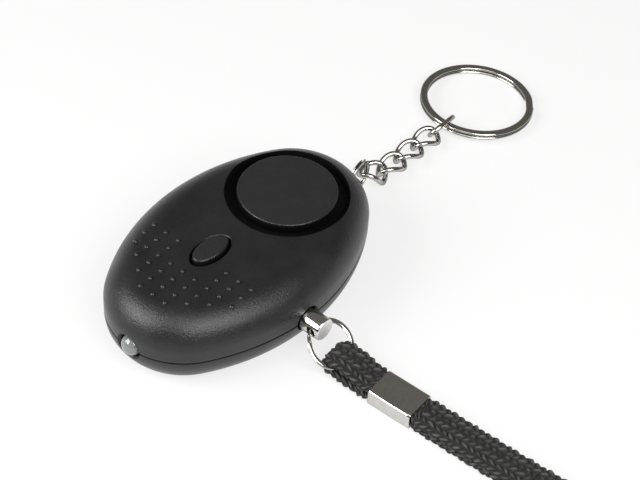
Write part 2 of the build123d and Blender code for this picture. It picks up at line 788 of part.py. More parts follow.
# Split ring: one wire wound twice. The slit between the turns, and the step where
# the wire crosses from the lower turn to the upper one, are cut from one band.
def split_ring(plane, radius, width, turn, slit, edge, jog):
    middle = radius - width / 2
    with BuildPart() as ring:
        with BuildSketch(Plane.XZ) as band:
            with Locations((middle, 0)):
                Rectangle(width, 2 * turn + slit)
            chamfer(band.vertices(), edge)
        revolve(axis=Axis.Z)
        with BuildSketch(Plane.XY.offset(-slit / 2)):
            Circle(radius + overrun)
            Circle(radius - width - overrun, mode=Mode.SUBTRACT)
            with Locations((middle, 0)):
                Rectangle(width + 2 * overrun, jog, mode=Mode.SUBTRACT)
        extrude(amount=slit, mode=Mode.SUBTRACT)
        with BuildSketch(Plane((radius + overrun, 0, 0), x_dir=(0, 1, 0), z_dir=(1, 0, 0))):
            for side in (1, -1):
                with BuildLine():
                    Polyline(
                        (-side * (jog / 2 + slit), -side * slit / 2),
                        (-side * (jog / 2 + slit), side * (turn + overrun)),
                        (-side * jog / 2, side * (turn + overrun)),
                        (side * jog / 2, side * (turn + slit)),
                        (-side * jog / 2, side * slit / 2),
                        close=True,
                    )
                make_face()
        extrude(amount=-(width + 2 * overrun), mode=Mode.SUBTRACT)
    return plane.location * ring.part


tilt = math.radians(pin_ring_tilt)
pin_ring_reach = pin_ring_radius - pin_ring_width / 2 - pin_ring_clear
pin_ring_middle = (pin_x, eye_y - pin_ring_reach * math.cos(tilt), axis_z - pin_ring_reach * math.sin(tilt))
pin_ring_plane = Plane(pin_ring_middle, x_dir=(1, 0, 0), z_dir=(0, -math.sin(tilt), math.cos(tilt)))
pin_ring = split_ring(pin_ring_plane, pin_ring_radius, pin_ring_width, pin_ring_turn, ring_slit, ring_edge, ring_jog)
pin_ring.label = "pin_ring"
export_step(pin_ring, "parts/pin_ring.step")

yaw = math.radians(tail_ring_yaw)
tail_ring_plane = Plane(
    (tail_ring_x, tail_ring_y, tail_ring_z), x_dir=(math.cos(yaw), math.sin(yaw), 0), z_dir=(math.sin(yaw), -math.cos(yaw), 0)
)
tail_ring = split_ring(
    tail_ring_plane, tail_ring_radius, tail_ring_width, tail_ring_turn, ring_slit, ring_edge, ring_jog
)
tail_ring.label = "tail_ring"
export_step(tail_ring, "parts/tail_ring.step")

# The key ring lies on the end link's wire at one side and on the ground at the other
turn_angle, lean = math.radians(key_ring_split_angle), math.radians(key_ring_tilt)
key_ring_z = (key_ring_turn + key_ring_slit / 2) * math.cos(lean) + key_ring_radius * math.sin(lean)
key_ring_plane = Plane(
    (key_ring_x, key_ring_y, key_ring_z),
    x_dir=(math.cos(turn_angle), math.sin(turn_angle), -math.tan(lean) * math.cos(turn_angle)),
    z_dir=(math.sin(lean), 0, math.cos(lean)),
)
key_ring = split_ring(
    key_ring_plane, key_ring_radius, key_ring_width, key_ring_turn, key_ring_slit, key_ring_edge, key_ring_jog
)
key_ring.label = "key_ring"
export_step(key_ring, "parts/key_ring.step")


# Half of a twisted oval link, swept from one side to the other, then turned for the other half
def curb_link(place, half_width, twist, roll, pitch=0, yaw=0):
    points = []
    for step in range(link_point_count + 1):
        angle = math.pi * (step / link_point_count - 1 / 2)
        lean = math.radians(twist) * math.cos(angle)
        across = half_width * math.sin(angle)
        points.append((link_half_length * math.cos(angle), across * math.cos(lean), across * math.sin(lean)))
    rise = half_width * math.radians(twist) / link_half_length
    half = Spline(*points, tangents=[(1, 0, -rise), (-1, 0, -rise)])
    with BuildPart() as link:
        for step in range(link_section_count + 1):
            share = step / link_section_count
            with BuildSketch(Plane(half @ share, x_dir=half @ share, z_dir=half % share)):
                RegularPolygon(link_wire_radius, link_side_count)
        loft(ruled=True)
        add(link.part.rotate(Axis.Y, 180))
    turned = link.part.rotate(Axis.X, roll).rotate(Axis.Y, pitch).rotate(Axis.Z, yaw)
    return Pos(*place) * turned


chain_places = [(chain_first_x, chain_first_y, chain_first_z)]
chain_places += [
    (chain_second_x + index * chain_pitch, chain_y + index * chain_drift, chain_z) for index in range(3)
]
for index, place in enumerate(chain_places):
    name = f"chain_link_{index + 1}"
    lie = (chain_first_roll, chain_first_pitch, chain_first_yaw) if index == 0 else (link_roll,)
    link = curb_link(place, link_half_width, link_twist, *lie)
    link.label = name
    export_step(link, f"parts/{name}.step")

end_link = curb_link((end_link_x, end_link_y, end_link_z), end_link_half_width, 0, end_link_roll)
end_link.label = "end_link"
export_step(end_link, "parts/end_link.step")

# Wrist strap: both strands lie in one upright plane that turns a little off -Y
strap_high_z = strap_low_z + strap_thickness + strap_layer_gap
ring_far_y = pin_ring_middle[1] - (pin_ring_radius - pin_ring_width / 2) * math.cos(tilt)
nose_top_z = strap_low_z + 2 * strap_nose_radius
nose_front_y = ring_far_y + strap_nose_from_ring + strap_nose_radius
ferrule_start_y = ring_far_y - ferrule_from_ring
ferrule_mid_y = ferrule_start_y - ferrule_length / 2
strap_turn = math.radians(strap_yaw)


def on_strap(y, z):
    return (pin_x + (ring_far_y - y) * math.tan(strap_turn), y, z)


def arc_radius(before, corner, after):
    first, second = Vector(*corner) - Vector(*before), Vector(*after) - Vector(*corner)
    half_turn = math.radians(first.get_angle(second)) / 2
    return run_share * min(first.length, second.length) / math.tan(half_turn)


upper_route = [
    on_strap(ferrule_mid_y, strap_low_z),
    on_strap(nose_front_y, strap_low_z),
    on_strap(nose_front_y, nose_top_z),
    on_strap(ring_far_y - strap_drop_from_ring, nose_top_z),
    on_strap(ring_far_y - strap_enter_from_ring, strap_high_z),
    on_strap(ring_far_y - strap_part_from_ring, strap_high_z),
    on_strap(ring_far_y - strap_open_from_ring, strap_end_z),
    on_strap(ring_far_y - strap_join_from_ring, strap_end_z),
]
lower_route = [
    on_strap(ferrule_mid_y, strap_low_z),
    on_strap(ring_far_y - strap_end_from_ring, strap_low_z),
    on_strap(ring_far_y - strap_end_from_ring, strap_end_z),
    on_strap(ring_far_y - strap_join_from_ring, strap_end_z),
]


def strap(route):
    radii = [arc_radius(*route[index:index + 3]) for index in range(len(route) - 2)]
    with BuildPart() as braid:
        with BuildLine():
            line = FilletPolyline(*route, radius=radii)
        across = (math.cos(strap_turn), math.sin(strap_turn), 0)
        with BuildSketch(Plane(line @ 0, x_dir=across, z_dir=line % 0)) as braid_section:
            Rectangle(strap_width, strap_thickness)
            chamfer(braid_section.vertices(), strap_bevel)
        sweep(path=line)
    area = strap_width * strap_thickness - 2 * strap_bevel**2
    print("strap arc radii", [round(radius, 2) for radius in radii])
    print("strap length", round(line.length, 2), "volume ratio", round(braid.part.volume / (area * line.length), 4))
    return braid.part


wrist_strap_upper = strap(upper_route)
wrist_strap_upper.label = "wrist_strap_upper"
export_step(wrist_strap_upper, "parts/wrist_strap_upper.step")
wrist_strap_lower = strap(lower_route)
wrist_strap_lower.label = "wrist_strap_lower"
export_step(wrist_strap_lower, "parts/wrist_strap_lower.step")

# Crimp ferrule round both layers
bore_width = strap_width + 2 * ferrule_fit
bore_height = 2 * strap_thickness + strap_layer_gap + 2 * ferrule_fit
ferrule_plane = Plane(
    on_strap(ferrule_start_y - ferrule_length, (strap_low_z + strap_high_z) / 2),
    x_dir=(math.cos(strap_turn), math.sin(strap_turn), 0),
    z_dir=(-math.sin(strap_turn), math.cos(strap_turn), 0),
)
with BuildPart() as strap_ferrule:
    with BuildSketch(ferrule_plane):
        RectangleRounded(bore_width + 2 * ferrule_wall, bore_height + 2 * ferrule_wall, ferrule_round)
        Rectangle(bore_width, bore_height, mode=Mode.SUBTRACT)
    extrude(amount=ferrule_length)
strap_ferrule.part.label = "strap_ferrule"
export_step(strap_ferrule.part, "parts/strap_ferrule.step")
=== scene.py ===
import math
from contextlib import contextmanager

import bmesh
import bpy
import numpy as np
from mathutils import Matrix, Vector


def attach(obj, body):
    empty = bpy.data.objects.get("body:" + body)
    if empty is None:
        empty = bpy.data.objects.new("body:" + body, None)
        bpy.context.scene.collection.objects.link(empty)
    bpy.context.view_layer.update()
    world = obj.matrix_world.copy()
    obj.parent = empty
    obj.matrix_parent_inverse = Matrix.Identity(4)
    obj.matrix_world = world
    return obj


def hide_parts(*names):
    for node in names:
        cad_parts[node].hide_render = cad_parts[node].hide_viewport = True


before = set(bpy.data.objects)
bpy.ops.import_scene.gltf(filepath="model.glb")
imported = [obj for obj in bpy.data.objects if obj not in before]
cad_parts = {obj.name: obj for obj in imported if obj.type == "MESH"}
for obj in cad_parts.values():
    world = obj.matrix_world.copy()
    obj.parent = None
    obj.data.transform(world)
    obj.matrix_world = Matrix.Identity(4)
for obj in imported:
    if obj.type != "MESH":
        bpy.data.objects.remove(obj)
mm = 0.001
xAxis, yAxis, zAxis = (1, 0, 0), (0, 1, 0), (0, 0, 1)
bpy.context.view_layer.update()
print("frame loaded")


# Sums of node sockets written as plain arithmetic
class Field:
    def __init__(self, tree, socket):
        self.tree, self.socket = tree, socket

    def math(self, operation, *others):
        node = self.tree.nodes.new("ShaderNodeMath")
        node.operation = operation
        for slot, value in enumerate((self,) + others):
            if isinstance(value, Field):
                self.tree.links.new(value.socket, node.inputs[slot])
            else:
                node.inputs[slot].default_value = value
        return Field(self.tree, node.outputs[0])

    def __add__(self, other): return self.math("ADD", other)
    def __sub__(self, other): return self.math("SUBTRACT", other)
    def __mul__(self, other): return self.math("MULTIPLY", other)
    def __gt__(self, other): return self.math("GREATER_THAN", other)
    def clamp(self): return self.math("MAXIMUM", 0.0).math("MINIMUM", 1.0)

    # Inputs by name, or by number as i0, i6 and so on
    def node(self, kind, output=0, settings=None, **values):
        made = self.tree.nodes.new(kind)
        for name, value in (settings or {}).items():
            setattr(made, name, value)
        for name, value in values.items():
            numbered = name[0] == "i" and name[1:].isdigit()
            target = made.inputs[int(name[1:]) if numbered else name.replace("_", " ")]
            if isinstance(value, Field):
                self.tree.links.new(value.socket, target)
            else:
                target.default_value = value
        return Field(self.tree, made.outputs[output])

    def axes(self):
        split = self.node("ShaderNodeSeparateXYZ", i0=self)
        return [Field(self.tree, output) for output in split.socket.node.outputs]


looks = {}


def setInputs(shader, values):
    for key, value in values.items():
        shader.inputs[key.replace("_", " ")].default_value = value


# A principled material, its shader and its object coordinates
def material(name, color, roughness, metallic=0.0, **constant):
    made = bpy.data.materials.new(name)
    made.use_nodes = True
    shader = made.node_tree.nodes["Principled BSDF"]
    setInputs(shader, dict(Base_Color=(*color, 1), Roughness=roughness, Metallic=metallic))
    setInputs(shader, constant)
    looks[name] = made
    return made, shader, Field(made.node_tree, None).node("ShaderNodeTexCoord", output=3)


def plug(field, shader, name):
    field.tree.links.new(field.socket, shader.inputs[name])


def bump(field, shader, strength, distance):
    normal = field.node("ShaderNodeBump", Strength=strength, Distance=distance, Height=field)
    plug(normal, shader, "Normal")


def noise(place, scale, detail=2.0, roughness=0.5):
    kind = "ShaderNodeTexNoise"
    return place.node(kind, Vector=place, Scale=scale, Detail=detail, Roughness=roughness)


def ramp(field, low, high, toLow=0.0, toHigh=1.0):
    ends = dict(From_Min=low, From_Max=high, To_Min=toLow, To_Max=toHigh)
    return field.node("ShaderNodeMapRange", Value=field, **ends)


def tint(field, first, second):
    low, high = [color if isinstance(color, Field) else (*color, 1) for color in (first, second)]
    settings = {"data_type": "RGBA"}
    return field.node("ShaderNodeMix", output=2, settings=settings, i0=field, i6=low, i7=high)


wander = dict(low=0.3, high=0.7, smoother=0.85, rougher=1.15)


# Colour and roughness that wander a little with the grain
def spread(grain, shader, color, dark=0.8, light=1.15):
    w, base = wander, shader.inputs["Roughness"].default_value
    plug(ramp(grain, w["low"], w["high"], base * w["smoother"], base * w["rougher"]), shader, "Roughness")
    share = ramp(grain, w["low"], w["high"])
    plug(tint(share, [c * dark for c in color], [c * light for c in color]), shader, "Base Color")


metal = dict(edge=0.35, grain=900, detail=4.0, dark=0.93, light=1.04,
             ripple=1400, bump=0.05, depth=0.006 * mm)
metals = dict(plated=((0.64, 0.625, 0.595), 0.1), chainPlated=((0.5, 0.485, 0.455), 0.11),
              contact=((0.7, 0.68, 0.6), 0.25), steel=((0.5, 0.5, 0.5), 0.3),
              brass=((0.72, 0.52, 0.22), 0.28), copper=((0.55, 0.2, 0.08), 0.35))


def metalLook(name, color, rough):
    edge = metal["edge"]  # reflections darken towards the outline
    made, shader, place = material(name, color, rough, 1.0, Specular_Tint=(edge, edge, edge, 1.0))
    spread(noise(place, metal["grain"], metal["detail"]), shader, color, metal["dark"], metal["light"])
    bump(noise(place, metal["ripple"]), shader, metal["bump"], metal["depth"])
    return shader, place


for name, (color, rough) in metals.items():
    metalLook(name, color, rough)

matte = dict(grain=600, detail=4.0, ripple=2500, bump=0.2, depth=0.02 * mm)
mattes = dict(board=((0.03, 0.16, 0.07), 0.4), component=((0.02, 0.02, 0.02), 0.45),
              ceramic=((0.75, 0.73, 0.66), 0.5), ferrite=((0.05, 0.046, 0.042), 0.7),
              inside=((0.008, 0.008, 0.008), 0.7))
for name, (color, rough) in mattes.items():
    made, shader, place = material(name, color, rough)
    spread(noise(place, matte["grain"], matte["detail"]), shader, color)
    bump(noise(place, matte["ripple"]), shader, matte["bump"], matte["depth"])
print("metals and inner materials made")


@contextmanager
def editing(mesh):
    work = bmesh.new()
    work.from_mesh(mesh)
    yield work
    work.to_mesh(mesh)
    work.free()


def meshOf(name, shape):
    points, faces = shape
    mesh = bpy.data.meshes.new(name)
    mesh.from_pydata([tuple(float(c) * mm for c in p) for p in points], [], faces)
    return mesh


def evaluatedMesh(piece):
    graph = bpy.context.evaluated_depsgraph_get()
    return bpy.data.meshes.new_from_object(piece.evaluated_get(graph))


# Degrees from which an edge stays sharp
creases = dict(case=35, metal=40, round=50, link=80, braid=180)


# Material, shading, body and replaced nodes of a finished piece; its slot is not used
def dress(piece, look, body=None, nodes=(), slot=None, crease="metal"):
    with editing(piece.data) as work:
        broad = [face for face in work.faces if len(face.verts) > 4]
        bmesh.ops.triangulate(work, faces=broad, ngon_method="BEAUTY")
    piece.data.materials.clear()
    piece.data.materials.append(looks[look])
    piece.data.shade_smooth()
    piece.data.set_sharp_from_angle(angle=math.radians(creases[crease]))
    if body:
        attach(piece, body)
    if nodes:
        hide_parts(*nodes)
    return piece


def build(name, shape, look, *dressing, same=0.0001 * mm):
    piece = bpy.data.objects.new(name, meshOf(name, shape))
    bpy.context.scene.collection.objects.link(piece)
    with editing(piece.data) as work:
        bmesh.ops.remove_doubles(work, verts=work.verts, dist=same)
        bmesh.ops.recalc_face_normals(work, faces=work.faces)
    return dress(piece, look, *dressing)


# Faces between rows of points that close on themselves, with flat ends where asked
def strips(rows, closed=False, caps=True):
    count = len(rows[0])
    points = [p for row in rows for p in row]
    faces = []
    for r in range(len(rows) if closed else len(rows) - 1):
        a, b = r * count, (r + 1) % len(rows) * count
        faces += [(a + i, a + (i + 1) % count, b + (i + 1) % count, b + i) for i in range(count)]
    if caps and not closed:
        faces.append(tuple(reversed(range(count))))
        faces.append(tuple((len(rows) - 1) * count + i for i in range(count)))
    return points, faces


def joined(*shapes):
    points, faces = [], []
    for more, quads in shapes:
        shift = len(points)
        points += list(more)
        faces += [tuple(i + shift for i in face) for face in quads]
    return points, faces


# Rows turned about an axis: profile pairs are (along, radius)
def turned(profile, origin, axis, count=96):
    axis = np.array(axis, float)
    side = np.cross(axis, zAxis if abs(axis[2]) < 0.9 else xAxis)
    side /= np.linalg.norm(side)
    up = np.cross(axis, side)
    turns = np.linspace(0, 2 * math.pi, count, endpoint=False)
    spokes = [side * math.cos(t) + up * math.sin(t) for t in turns]
    rows = []
    for along, radius in profile:
        rows.append([np.array(origin) + axis * along + radius * spoke for spoke in spokes])
    return strips(rows)


def arc(centre, radius, first, last, steps):
    angles = [math.radians(first + (last - first) * i / steps) for i in range(steps + 1)]
    return [(centre[0] + radius * math.cos(a), centre[1] + radius * math.sin(a)) for a in angles]


# Power of the size of a number that keeps its sign, for sections squarer than an ellipse
def signedPower(value, power):
    return math.copysign(abs(value) ** power, value)


def ovalRow(x, half, across, z, count):
    turns = np.linspace(0, 2 * math.pi, count, endpoint=False)
    return [(x + half * math.cos(t), across * math.sin(t), z) for t in turns]


roundAngles = (0.4, 0.8, 1.2, 1.57)


# Rounded upper edge: pairs of height and step inwards below a flat top
def rounded(top, edge):
    return [(top - edge + edge * math.sin(a), -edge + edge * math.cos(a)) for a in roundAngles]


# Cuts or adds shapes, and takes out the slivers that this leaves
def carve(piece, tool, operation="DIFFERENCE", sliver=0.005 * mm):
    step = piece.modifiers.new("cut", "BOOLEAN")
    step.object, step.operation, step.solver = tool, operation, "EXACT"
    bpy.context.view_layer.update()
    result = evaluatedMesh(piece)
    piece.modifiers.clear()
    piece.data = result
    bpy.data.objects.remove(tool)
    with editing(result) as work:
        bmesh.ops.remove_doubles(work, verts=work.verts, dist=sliver)
        bmesh.ops.dissolve_degenerate(work, edges=work.edges, dist=sliver)


def cutter(shape):
    return build("cutter", shape, "inside")


# Case outline and the surface over it, as in the solids
case = dict(length=70.0, width=45.0, height=19.3, end=17.3, parting=9.2, axis=9.0, top=7.5, back=8.6,
            wall=1.8, roof=1.6, bevel=4.4, flatTop=13.0, flatBack=12.0, inner=17.0,
            topSteps=26, backSteps=24,
            upperLip=((0.12, 0.0), (0.03, 0.05), (0.0, 0.16), (0.0, 0.5)),
            lowerLip=((0.0, -0.42), (0.05, -0.33), (0.25, -0.3), (0.25, 0.0)))
siren = dict(x=15.5, groove=14.0, floor=16.3, lip=0.3, lipShares=(1.0, 0.6, 0.3, 0.1, 0.0), clear=24.0,
             cap=11.3, top=19.9, under=17.9, hub=4.5, edge=0.3, chamfer=0.2, seat=15.2, seatLow=15.1,
             grooveSides=160, capSides=180, seatSides=128)
button = dict(x=-9.6, half=5.0, across=2.6, top=20.2, edge=0.5, gap=0.55,
              skirt=1.3, skirtLow=16.75, skirtTop=17.55,
              recess=((14.5, 0.0), (18.9, 0.0), (19.15, 0.08), (19.35, 0.35), (22.0, 0.5)),
              sides=128, recessSides=96)
screws = dict(places=((-24.0, 8.5), (-24.0, -8.5), (24.2, 11.3), (24.2, -11.3)), skin=0.04,
              post=2.6, postLow=0.5, postTop=8.7, postSides=40, trimTop=8.8,
              head=2.1, headLow=-2.0, headTop=3.4, headSides=40,
              bore=1.08, boreLow=3.2, boreTop=10.0, boreSides=32)
eye = dict(x=37.6, root=33.2, low=4.2, high=6.8, outer=3.1, hole=1.9, edge=0.35, flare=0.3, past=1.2,
           steps=33, sides=48)
dots = dict(pitch=3.0, rows=3.53, first=-27.2, radius=0.62, height=0.5, sunk=0.1, spread=1.06,
            angles=(0.5, 0.9, 1.25, 1.5), sides=16,
            table=[(0, 0, 4), (1, 0, 4), (2, 1, 5), (3, 2, 4), (4, 3, 3)])
lampHole = dict(place=(-35.0, 0, 9.0), axis=xAxis, radius=2.8, flare=0.75,
                outside=-3.0, mouth=0.0, throat=0.9, deep=5.0, count=48)
pinHole = dict(place=(-2.9, -22.42, 9.0), axis=yAxis, radius=3.0, flare=0.7,
               outside=-3.0, mouth=-0.5, throat=0.35, deep=4.0, count=56)

plastic = dict(ior=1.46, mottle=180, mottleDetail=4.0, dark=0.85, light=1.15,
               grain=2900, detail=3.0, mix=0.6, bump=1.0, depth=0.105 * mm,
               rim=0.2, rimLow=0.06 * mm, rimTop=0.02 * mm, fade=0.1 * mm)
plastics = dict(casePlastic=((0.0102, 0.0105, 0.0115), 0.32), capPlastic=((0.0112, 0.0112, 0.012), 0.46),
                buttonPlastic=((0.0112, 0.0112, 0.012), 0.46))
# Inputs of the nearly black shader that paints shade in hollows and on side walls
shade = dict(Base_Color=(0.002, 0.002, 0.0022, 1), Roughness=0.7, Specular_IOR_Level=0.12)
shaded = dict(groovePast=0.14, grooveSoft=0.9915, recessPast=0.1, recessSoft=0.98, above=12.0)


# A second shader, dull and nearly black, mixed in where the field is 1: painted shade
def paintShade(made, shader, field):
    links, nodes = made.node_tree.links, made.node_tree.nodes
    dull, mixed = nodes.new("ShaderNodeBsdfPrincipled"), nodes.new("ShaderNodeMixShader")
    setInputs(dull, shade)
    for slot, source in enumerate((field.socket, shader.outputs[0], dull.outputs[0])):
        links.new(source, mixed.inputs[slot])
    links.new(mixed.outputs[0], nodes["Material Output"].inputs[0])


# 1 inside an upright oval cylinder, soft at its wall
def insideOval(x, y, centre, half, across, soft):
    dx = (x - centre * mm) * (1 / (half * mm))
    dy = y * (1 / (across * mm))
    return ramp(dx * dx + dy * dy, soft, 1.0, 1.0, 0.0)


def plasticLook(name, color, rough):
    p = plastic
    made, shader, place = material(name, color, rough, IOR=p["ior"])
    spread(noise(place, p["mottle"], p["mottleDetail"]), shader, color, p["dark"], p["light"])
    x, y, z = place.axes()
    if name == "casePlastic":  # painted shade in the groove round the cap and in the recess of the button
        reach, gap = siren["groove"] + shaded["groovePast"], button["gap"] + shaded["recessPast"]
        half, across = button["half"] + gap, button["across"] + gap
        groove = insideOval(x, y, siren["x"], reach, reach, shaded["grooveSoft"])
        recess = insideOval(x, y, button["x"], half, across, shaded["recessSoft"])
        paintShade(made, shader, (groove + recess).clamp() * (z > shaded["above"] * mm))
    else:  # a crisper rim over a side wall painted in shade
        cap = siren if name == "capPlastic" else button
        top, low = cap["top"] * mm, (cap["top"] - cap["edge"]) * mm
        rim = ramp(z, top - p["rimLow"], top - p["rimTop"], 1.0, 0.0) * (z > low)
        plug(ramp(rim, 0.0, 1.0, rough, p["rim"]), shader, "Roughness")
        paintShade(made, shader, ramp(z, low - p["fade"], low, 1.0, 0.0))
    bump(noise(place, p["grain"], p["detail"], p["mix"]), shader, p["bump"], p["depth"])


for name, (color, rough) in plastics.items():
    plasticLook(name, color, rough)

endCentre = case["length"] / 2 - case["end"]
sideRadius = (endCentre**2 + (case["width"] / 2) ** 2 - case["end"] ** 2) / (case["width"] - 2 * case["end"])
sideCentre = sideRadius - case["width"] / 2
meet = math.atan2(sideCentre, endCentre)


def outline(inset, z, endSteps=44, sideSteps=46):
    ends, sides = case["end"] - inset, sideRadius - inset
    points = []
    for turn in (1, -1):
        for i in range(endSteps):
            a = -meet + 2 * meet * i / endSteps
            points.append((turn * (endCentre + ends * math.cos(a)), turn * ends * math.sin(a), z))
        for i in range(sideSteps):
            a = meet + (math.pi - 2 * meet) * i / sideSteps
            points.append((turn * sides * math.cos(a), turn * (sides * math.sin(a) - sideCentre), z))
    return points


def insetAt(x, y):
    x, y = abs(x), abs(y)
    if x * sideCentre > (y + sideCentre) * endCentre:
        return case["end"] - math.hypot(x - endCentre, y)
    return sideRadius - math.hypot(x, y + sideCentre)


def surface(x, y):
    depth = max(0.0, case["top"] - insetAt(x, y))
    return case["height"] - case["top"] + math.sqrt(max(0.0, case["top"] ** 2 - depth**2))


def slope(x, y, step=0.05):
    rise = (surface(x + step, y) - surface(x - step, y)) / (2 * step)
    lift = (surface(x, y + step) - surface(x, y - step)) / (2 * step)
    normal = np.array([-rise, -lift, 1.0])
    return normal / np.linalg.norm(normal)


# Holes for the lamp and the pin, each with a flared mouth
def wallCutters():
    shapes = []
    for hole in (lampHole, pinHole):
        wide, narrow = hole["radius"] + hole["flare"], hole["radius"]
        profile = [(hole["outside"], wide), (hole["mouth"], wide)]
        profile += [(hole["throat"], narrow), (hole["deep"], narrow)]
        shapes.append(turned(profile, hole["place"], hole["axis"], hole["count"]))
    return joined(*shapes)


# Hollow shell: one skin outside and one inside, joined at the parting line
def upperSkins():
    c, z = case, case["parting"]
    top, ceiling = c["height"], c["height"] - c["roof"]
    profile = [(c["wall"], z)] + [(inset, z + rise) for inset, rise in c["upperLip"]]
    profile += [(c["top"] - x, y) for x, y in arc((0, top - c["top"]), c["top"], 0, 90, c["topSteps"])]
    profile += [(c["flatTop"], top), (c["inner"], top)]
    inner = [(c["inner"], ceiling), (c["wall"] + c["bevel"], ceiling), (c["wall"], ceiling - c["bevel"])]
    outer, outerFaces = strips([outline(*p) for p in profile], caps=False)
    hollow, hollowFaces = strips([outline(*p) for p in inner + [profile[0]]], caps=False)
    count = len(outline(0, 0))
    outerFaces.append(tuple(range((len(profile) - 1) * count, len(profile) * count)))
    hollowFaces.append(tuple(reversed(range(count))))
    return joined((outer, outerFaces), (hollow, hollowFaces))


# The groove round the siren cap, its mouth rounded over
def grooveShape():
    s, lip, top = siren, siren["lip"], case["height"]
    profile = [(s["floor"], s["groove"])]
    for share in s["lipShares"]:
        depth = lip * share
        profile.append((top - depth, s["groove"] + lip - math.sqrt(max(0, lip**2 - (lip - depth) ** 2))))
    return turned(profile + [(s["clear"], s["groove"] + lip)], (s["x"], 0, 0), zAxis, s["grooveSides"])


def recessShape():
    b, rows = button, []
    for z, grow in b["recess"]:
        gap = b["gap"] + grow
        rows.append(ovalRow(b["x"], b["half"] + gap, b["across"] + gap, z, b["recessSides"]))
    return strips(rows)


def dotShapes():
    d = dots
    dome = [(-d["sunk"], d["radius"] * d["spread"]), (0.0, d["radius"])]
    dome += [(d["height"] * math.sin(a), d["radius"] * math.cos(a)) for a in d["angles"]]
    shapes = []
    for row, first, places in d["table"]:
        for side in ((1, -1) if row else (1,)):
            for n in range(places):
                x, y = d["first"] + (first + n) * d["pitch"], side * row * d["rows"]
                shapes.append(turned(dome, (x, y, surface(x, y)), slope(x, y), d["sides"]))
    return joined(*shapes)


def upperCase():
    piece = build("upperShell", upperSkins(), "casePlastic")
    s = siren
    seat = [(s["seatLow"], s["seat"]), (s["under"], s["seat"])]
    carve(piece, cutter(turned(seat, (s["x"], 0, 0), zAxis, s["seatSides"])), "UNION")
    for shape in (grooveShape(), recessShape(), wallCutters()):
        carve(piece, cutter(shape))
    with editing(piece.data) as work:
        work.from_mesh(meshOf("dots", dotShapes()))
        bmesh.ops.recalc_face_normals(work, faces=work.faces)
    dress(piece, "casePlastic", "case", ["upper_case"], "case_plastic", "case")


# The tongue that carries the tail ring: flat sides, a round end and small bevels
def tongueShape():
    inner, outer = eye["root"], eye["outer"]
    turns = np.linspace(-math.pi / 2, math.pi / 2, eye["steps"])
    plate = [(eye["x"] + outer * math.cos(a), outer * math.sin(a)) for a in turns]
    plate += [(inner, outer), (inner, -outer)]
    rows = []
    edge, low, high = eye["edge"], eye["low"], eye["high"]
    for inset, z in ((edge, low), (0, low + edge), (0, high - edge), (edge, high)):
        share, row = 1 - inset / outer, []
        for x, y in plate:
            row.append((x if x == inner else eye["x"] + (x - eye["x"]) * share, y * share, z))
        rows.append(row)
    return strips(rows)


def eyeShape():
    hole, flare, low, high = eye["hole"], eye["flare"], eye["low"], eye["high"]
    profile = [(low - eye["past"], hole + flare), (low, hole + flare), (low + flare, hole)]
    profile += [(high - flare, hole), (high, hole + flare), (high + eye["past"], hole + flare)]
    return turned(profile, (eye["x"], 0, 0), zAxis, eye["sides"])


# The same round bar at each screw: its post, head hole or bore
def atScrews(part):
    s = screws
    ends = [(s[part + "Low"], s[part]), (s[part + "Top"], s[part])]
    bars = [turned(ends, (x, y, 0), zAxis, s[part + "Sides"]) for x, y in s["places"]]
    return cutter(joined(*bars))


def lowerCase():
    c, z, floor = case, case["parting"], case["roof"]
    back = [(c["inner"], 0.0), (c["flatBack"], 0.0)]
    back += [(c["back"] - x, y) for x, y in arc((0, c["back"]), c["back"], -90, 0, c["backSteps"])]
    lip = [(inset, z + rise) for inset, rise in c["lowerLip"]] + [(c["wall"], z)]
    inner = [(c["wall"], floor + c["bevel"]), (c["wall"] + c["bevel"], floor), (c["inner"], floor)]
    piece = build("lowerShell", strips([outline(*p) for p in back + lip + inner]), "casePlastic")
    carve(piece, cutter(tongueShape()), "UNION")
    carve(piece, cutter(eyeShape()))
    skin, trimTop = screws["skin"], screws["trimTop"]
    within = [outline(inset + skin, y + skin) for inset, y in back]
    within += [outline(skin, trimTop), outline(c["inner"], trimTop)]
    posts = atScrews("post")
    carve(posts, cutter(strips(within)), "INTERSECT")  # trimmed to the rounded back
    carve(piece, posts, "UNION")
    carve(piece, atScrews("head"))
    carve(piece, atScrews("bore"))
    carve(piece, cutter(wallCutters()))
    dress(piece, "casePlastic", "case", ["lower_case"], "case_plastic", "case")


def sirenDisc():
    s, cap = siren, siren["cap"]
    profile = [(s["floor"], s["hub"]), (s["under"], s["hub"]), (s["under"], cap - s["chamfer"])]
    profile += [(s["under"] + s["chamfer"], cap), (s["top"] - s["edge"], cap)]
    profile += [(z, cap + inset) for z, inset in rounded(s["top"], s["edge"])]
    shape = turned(profile, (s["x"], 0, 0), zAxis, s["capSides"])
    build("sirenDisc", shape, "capPlastic", "case", ["siren_cap"], "cap_plastic", "round")


def buttonCap():
    b = button
    levels = [(b["skirtLow"], b["skirt"]), (b["skirtTop"], b["skirt"]), (b["skirtTop"], 0.0)]
    levels += [(b["top"] - b["edge"], 0.0)] + rounded(b["top"], b["edge"])
    rows = []
    for z, inset in levels:
        rows.append(ovalRow(b["x"], b["half"] + inset, b["across"] + inset, z, b["sides"]))
    build("buttonCap", strips(rows), "buttonPlastic", "button", ["led_button"], "cap_plastic", "round")


upperCase()
lowerCase()
sirenDisc()
buttonCap()
print("case made")

